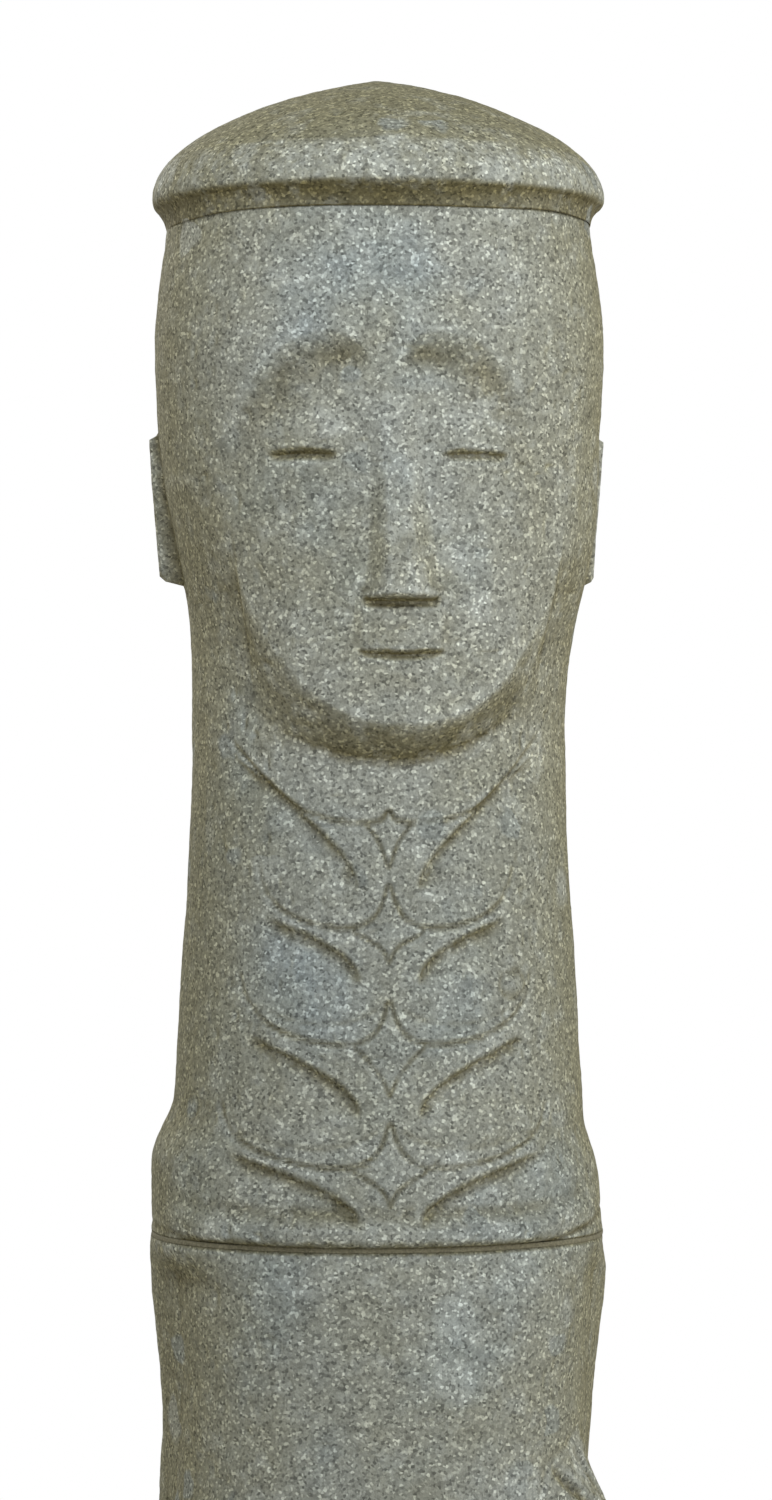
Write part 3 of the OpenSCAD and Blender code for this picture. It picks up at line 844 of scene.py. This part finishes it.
class Nodes:
    """Short calls that add shader nodes and link them."""

    def __init__(self, name):
        self.material = bpy.data.materials.new(name)
        self.material.use_nodes = True
        self.tree = self.material.node_tree
        self.shader = self.tree.nodes["Principled BSDF"]
        self.place = self.tree.nodes.new("ShaderNodeTexCoord").outputs["Object"]

    def put(self, socket, value):
        if isinstance(value, bpy.types.NodeSocket):
            self.tree.links.new(value, socket)
        else:
            socket.default_value = value

    def noise(self, scale, detail=3.0, roughness=0.55, place=None, output="Fac"):
        node = self.tree.nodes.new("ShaderNodeTexNoise")
        self.put(node.inputs["Vector"], place or self.place)
        node.inputs["Scale"].default_value = scale
        node.inputs["Detail"].default_value = detail
        node.inputs["Roughness"].default_value = roughness
        return node.outputs[output]

    def cells(self, scale, output="Color", place=None):
        node = self.tree.nodes.new("ShaderNodeTexVoronoi")
        self.put(node.inputs["Vector"], place or self.place)
        node.inputs["Scale"].default_value = scale
        return node.outputs[output]

    def math(self, operation, a, b=0.0, clamp=False):
        node = self.tree.nodes.new("ShaderNodeMath")
        node.operation = operation
        node.use_clamp = clamp
        self.put(node.inputs[0], a)
        self.put(node.inputs[1], b)
        return node.outputs[0]

    def remap(self, value, low, high, to_low=0.0, to_high=1.0):
        node = self.tree.nodes.new("ShaderNodeMapRange")
        self.put(node.inputs["Value"], value)
        for name, number in zip(("From Min", "From Max", "To Min", "To Max"), (low, high, to_low, to_high)):
            node.inputs[name].default_value = number
        return node.outputs[0]

    def ramp(self, value, stops):
        node = self.tree.nodes.new("ShaderNodeValToRGB")
        self.put(node.inputs[0], value)
        points = node.color_ramp.elements
        while len(points) < len(stops):
            points.new(0.5)
        for point, (place, shade) in zip(points, stops):
            point.position = place
            point.color = (shade, shade, shade, 1)
        return node.outputs[0]

    def blend(self, kind, factor, a, b):
        node = self.tree.nodes.new("ShaderNodeMix")
        node.data_type = "RGBA"
        node.blend_type = kind
        self.put(node.inputs["Factor"], factor)
        for socket, value in ((node.inputs[6], a), (node.inputs[7], b)):
            self.put(socket, value if isinstance(value, bpy.types.NodeSocket) else (*value, 1))
        return node.outputs[2]

    def attribute(self, name):
        node = self.tree.nodes.new("ShaderNodeAttribute")
        node.attribute_name = name
        return node.outputs["Fac"]

    def red(self, colour):
        node = self.tree.nodes.new("ShaderNodeSeparateColor")
        self.put(node.inputs[0], colour)
        return node.outputs[0]

    def bump(self, height, distance, strength):
        node = self.tree.nodes.new("ShaderNodeBump")
        node.inputs["Distance"].default_value = distance
        node.inputs["Strength"].default_value = strength
        self.put(node.inputs["Height"], height)
        return node.outputs[0]

    def split(self, vector):
        node = self.tree.nodes.new("ShaderNodeSeparateXYZ")
        self.put(node.inputs[0], vector)
        return node.outputs

    def normal(self):
        """The surface normal in the object's own space, as X, Y and Z."""
        return self.split(self.tree.nodes.new("ShaderNodeTexCoord").outputs["Normal"])

    def spots(self, scale, chosen_over, near, far, place):
        """1 round the middles of the few cells whose random value is over a limit, and 0 elsewhere."""
        chosen = self.math("GREATER_THAN", self.red(self.cells(scale, place=place)), chosen_over)
        inside = self.remap(self.cells(scale, "Distance", place), near, far, 1.0, 0.0)
        return self.math("MULTIPLY", chosen, inside)


def srgb(r, g, b):
    """Linear colour from display values of 0 to 255."""
    return tuple(((c / 255 + 0.055) / 1.055) ** 2.4 for c in (r, g, b))


# COOL and BLUE are painted light on faces turned to the front and OLIVE colours the rest; SHADE and OCHRE
# are painted shade
COOL = srgb(157, 161, 156)
BLUE = srgb(150, 160, 164)
OLIVE = srgb(140, 138, 114)
OCHRE = srgb(102, 95, 62)
PALE = srgb(188, 194, 192)
SHADE = srgb(112, 107, 76)
CLAST = srgb(140, 147, 146)
# Painted shade for the stone low down
LOW_SHADE_TINT = (0.80, 0.82, 0.83)
# Cells to a metre
CLAST_SCALE, PATCH_SCALE, PEBBLE_SCALE, GRAIN_SCALE, PIT_SCALE = 42.0, 26.0, 150.0, 640.0, 230.0


def stone(name, olive_share=0.0):
    """Granular volcanic stone: pale and dark grains, clasts and wear, with painted light and shade: cool on
    faces to the front, olive elsewhere, darker on faces turned up or down, ochre in hollows and darker low
    down.
    """
    n = Nodes(name)
    warped = n.blend("LINEAR_LIGHT", 0.006, n.place, n.noise(60.0, 2.0, output="Color"))
    facing = n.normal()
    # Painted light: faces turned to the front (-Y) take the cool colours and the rest stay olive;
    # olive_share takes some of it away
    front = n.remap(n.math("MULTIPLY", facing[1], -1.0), 0.3, 0.95)
    cloud = n.remap(n.noise(12.0, 5.0, 0.6), 0.35, 0.65)
    front_light = n.math("MULTIPLY", front, n.remap(cloud, 0.0, 1.0, 0.55, 1.0))
    front_light = n.math("SUBTRACT", front_light, olive_share, clamp=True)
    cool = n.blend("MIX", n.remap(n.noise(9.0, 4.0, 0.55, warped), 0.5, 0.66), COOL, BLUE)
    colour = n.blend("MIX", front_light, OLIVE, cool)
    # Painted shade: faces turned down, and faces turned up a little less, go toward the dark olive SHADE
    downward = n.remap(n.math("MULTIPLY", facing[2], -1.0), 0.12, 0.62)
    upward = n.math("MULTIPLY", n.remap(facing[2], 0.35, 0.95), 0.75)
    facing_shade = n.math("MULTIPLY", n.math("MAXIMUM", downward, upward), n.remap(cloud, 0.0, 1.0, 0.9, 0.6))
    colour = n.blend("MIX", facing_shade, colour, SHADE)
    # Wear and painted highlight: rises, the brim's front and the plinth's upper edge go pale
    wear_and_highlight = n.math("MULTIPLY", n.attribute("wear_and_highlight"), n.remap(n.noise(45.0, 4.0, 0.7), 0.4, 0.62), clamp=True)
    colour = n.blend("MIX", n.math("MULTIPLY", wear_and_highlight, 0.55), colour, PALE)
    # Painted shade: hollows, the brow hollows, under the chin, under the cap's brim and round the figure's
    # foot go toward ochre
    crease = n.math("MULTIPLY", n.attribute("crease"), n.remap(n.noise(70.0, 4.0, 0.6), 0.25, 0.6, 0.6, 1.0))
    colour = n.blend("MIX", n.math("MULTIPLY", crease, 0.72, clamp=True), colour, OCHRE)
    clasts = n.spots(CLAST_SCALE, 0.955, 0.34, 0.44, warped)
    colour = n.blend("MIX", n.math("MULTIPLY", clasts, 0.6), colour, CLAST)
    patches = n.spots(PATCH_SCALE, 0.93, 0.30, 0.42, warped)
    colour = n.blend("MIX", n.math("MULTIPLY", patches, 0.35), colour, PALE)
    # Pale bloom of the stone's own, shown more on faces turned to the front as painted light
    bloom = n.remap(n.noise(55.0, 4.0, 0.65), 0.52, 0.70)
    front_lit_share = n.remap(front, 0.0, 1.0, 0.18, 0.42)
    colour = n.blend("MIX", n.math("MULTIPLY", bloom, front_lit_share), colour, PALE)
    # Painted shade: the stone darkens from 0.9 m down to 0.84 m and stays darker below
    low_shade = n.remap(n.split(n.place)[2], 0.84, 0.90, 0.55, 0.0)
    colour = n.blend("MULTIPLY", low_shade, colour, LOW_SHADE_TINT)
    pebbles = n.red(n.cells(PEBBLE_SCALE, place=warped))
    mottle = n.ramp(pebbles, [(0.0, 0.80), (0.12, 0.96), (0.86, 1.02), (1.0, 1.22)])
    colour = n.blend("MULTIPLY", 0.7, colour, mottle)
    grains = n.red(n.cells(GRAIN_SCALE))
    speckle = n.ramp(grains, [(0.0, 0.36), (0.14, 0.70), (0.5, 0.97), (0.84, 1.16), (1.0, 2.2)])
    colour = n.blend("MULTIPLY", 0.9, colour, speckle)
    powder = n.ramp(n.noise(900.0, 4.0, 0.75), [(0.3, 0.72), (0.5, 1.0), (0.7, 1.30)])
    colour = n.blend("MULTIPLY", 0.8, colour, powder)
    n.put(n.shader.inputs["Base Color"], colour)
    n.put(n.shader.inputs["Roughness"], n.remap(grains, 0.0, 1.0, 0.95, 0.62))
    n.shader.inputs["Specular IOR Level"].default_value = 0.35
    height = n.math("ADD", n.math("MULTIPLY", grains, 0.5), n.noise(420.0, 5.0, 0.65))
    pits = n.spots(PIT_SCALE, 0.7, 0.0, 0.22, warped)
    height = n.math("ADD", height, n.math("MULTIPLY", pits, -1.2))
    n.put(n.shader.inputs["Normal"], n.bump(height, 0.0007, 0.8))
    return n.material


def mortar():
    n = Nodes("lime_mortar")
    sand = n.red(n.cells(900.0))
    shade = n.ramp(sand, [(0.0, 0.7), (0.5, 1.0), (1.0, 1.25)])
    base = n.blend("MIX", n.noise(30.0, 4.0), srgb(134, 132, 114), srgb(116, 112, 91))
    n.put(n.shader.inputs["Base Color"], n.blend("MULTIPLY", 0.8, base, shade))
    n.put(n.shader.inputs["Roughness"], n.remap(sand, 0.0, 1.0, 0.98, 0.85))
    n.put(n.shader.inputs["Normal"], n.bump(n.math("ADD", sand, n.noise(200.0, 4.0)), 0.0006, 0.9))
    return n.material


def steel():
    n = Nodes("stainless_rod")
    turned = n.noise(1500.0, 2.0)
    tone = n.blend("MIX", n.noise(80.0, 3.0), srgb(176, 178, 180), srgb(150, 151, 150))
    n.shader.inputs["Metallic"].default_value = 1.0
    n.put(n.shader.inputs["Base Color"], tone)
    n.put(n.shader.inputs["Roughness"], n.remap(turned, 0.3, 0.7, 0.28, 0.5))
    n.put(n.shader.inputs["Normal"], n.bump(turned, 0.00005, 0.5))
    return n.material


def plastic(name, dark, light, rough):
    """Cast resin or moulded rubber, with a little mottling."""
    n = Nodes(name)
    mottle = n.noise(160.0, 4.0, 0.6)
    n.put(n.shader.inputs["Base Color"], n.blend("MIX", mottle, dark, light))
    n.put(n.shader.inputs["Roughness"], n.remap(mottle, 0.3, 0.7, rough - 0.1, rough + 0.1))
    n.put(n.shader.inputs["Normal"], n.bump(n.noise(700.0, 3.0), 0.0001, 0.6))
    return n.material


def dress(piece, material):
    piece.data.materials.clear()
    piece.data.materials.append(material)


# ---- Pieces ---------------------------------------------------------------------------


def add(piece, material, body, node):
    dress(piece, material)
    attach(piece, body)
    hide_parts(node)


figure_stone = stone("grey_green_stone")
cap_material = stone("cap_stone_olive", 0.1)
plinth_material = stone("plinth_stone_dark", 0.3)
mortar_material = mortar()
add(head_neck_stone(), figure_stone, "figure", "head_neck_stone")
add(torso_stone(), figure_stone, "figure", "torso_stone")
add(cap_stone(), cap_material, "cap", "cap_stone")
add(plinth_stone(), plinth_material, "figure", "plinth_stone")
collar_mortar = mortar_bed("collar_mortar", collar_outline, Z_TORSO_TOP, Z_NECK_FOOT, COLLAR_SEED)
base_mortar = mortar_bed("base_mortar", base_outline, PLINTH_H, Z_TORSO_FOOT, BASE_SEED)
add(collar_mortar, mortar_material, "figure", "collar_bed")
add(base_mortar, mortar_material, "figure", "base_bed")

steel_material = steel()
resin_material = plastic("setting_resin", srgb(112, 106, 84), srgb(140, 134, 112), 0.6)
rubber_material = plastic("rubber_pad", srgb(34, 34, 34), srgb(52, 52, 50), 0.85)
for node in ("cap_dowels", "collar_dowels", "base_dowels"):
    dress(frame["nodes"][node], steel_material)
for node in ("cap_dowel_resin", "collar_dowel_resin", "base_dowel_resin"):
    dress(frame["nodes"][node], resin_material)
dress(frame["nodes"]["cap_setting_pads"], rubber_material)


# ---- Floor, light and camera ----------------------------------------------------------

FLOOR_R, FLOOR_SIDES = 2.2, 128
LIGHT_AIM_Z = 0.85


def floor():
    turn = np.linspace(0, 2 * math.pi, FLOOR_SIDES, endpoint=False)
    rim = [(FLOOR_R * math.cos(t), FLOOR_R * math.sin(t), 0) for t in turn]
    mesh = bpy.data.meshes.new("floor")
    mesh.from_pydata(rim, [], [list(range(FLOOR_SIDES))])
    piece = bpy.data.objects.new("floor", mesh)
    bpy.context.scene.collection.objects.link(piece)
    n = Nodes("pale_floor")
    tone = n.blend("MIX", n.noise(6.0, 3.0), srgb(196, 193, 184), srgb(203, 200, 192))
    n.put(n.shader.inputs["Base Color"], tone)
    n.shader.inputs["Roughness"].default_value = 0.9
    dress(piece, n.material)


def world(sky_colour, strength):
    """White behind the object, and a softer warm light on it from all round."""
    scene_world = bpy.data.worlds.new("studio")
    bpy.context.scene.world = scene_world
    scene_world.use_nodes = True
    tree = scene_world.node_tree
    light = tree.nodes["Background"]
    light.inputs["Color"].default_value = (*sky_colour, 1)
    light.inputs["Strength"].default_value = strength
    seen = tree.nodes.new("ShaderNodeBackground")
    seen.inputs["Color"].default_value = (1, 1, 1, 1)
    seen.inputs["Strength"].default_value = 1.0
    path = tree.nodes.new("ShaderNodeLightPath")
    pick = tree.nodes.new("ShaderNodeMixShader")
    tree.links.new(path.outputs["Is Camera Ray"], pick.inputs[0])
    tree.links.new(light.outputs[0], pick.inputs[1])
    tree.links.new(seen.outputs[0], pick.inputs[2])
    tree.links.new(pick.outputs[0], tree.nodes["World Output"].inputs["Surface"])


def area_light(name, place, size, power, colour):
    """A square soft light aimed at the figure's neck."""
    data = bpy.data.lights.new(name, "AREA")
    data.size = size
    data.energy = power
    data.color = colour
    lamp = bpy.data.objects.new(name, data)
    bpy.context.scene.collection.objects.link(lamp)
    lamp.location = place
    aim = Vector((0, 0, LIGHT_AIM_Z)) - Vector(place)
    lamp.rotation_euler = aim.to_track_quat("-Z", "Y").to_euler()


# The camera stands a little to the figure's right, level with its chin
VIEW_AZIMUTH = math.radians(-5)
VIEW_DISTANCE = 2.78
EYE_Z = 0.898
AIM_RIGHT = 0.0048
LENS, SENSOR = 111.24, 36.0


def camera():
    data = bpy.data.cameras.new("camera")
    data.sensor_width = SENSOR
    data.lens = LENS
    eye = bpy.data.objects.new("camera", data)
    bpy.context.scene.collection.objects.link(eye)
    sine, cosine = math.sin(VIEW_AZIMUTH), math.cos(VIEW_AZIMUTH)
    eye.location = (VIEW_DISTANCE * sine, -VIEW_DISTANCE * cosine, EYE_Z)
    target = Vector((AIM_RIGHT * cosine, AIM_RIGHT * sine, EYE_Z))
    eye.rotation_euler = (target - eye.location).to_track_quat("-Z", "Y").to_euler()
    data.dof.use_dof = False
    bpy.context.scene.camera = eye


floor()
world((1.0, 0.965, 0.88), 0.55)
area_light("key", (0.15, -1.6, 2.3), 1.2, 21.0, (0.90, 0.96, 1.0))
area_light("side", (3.0, -1.1, 0.6), 1.4, 28.0, (1.0, 0.96, 0.88))
area_light("back_fill", (-1.4, 2.4, 2.4), 1.6, 22.0, (1.0, 0.98, 0.94))
camera()
bpy.context.scene.view_settings.view_transform = "Standard"
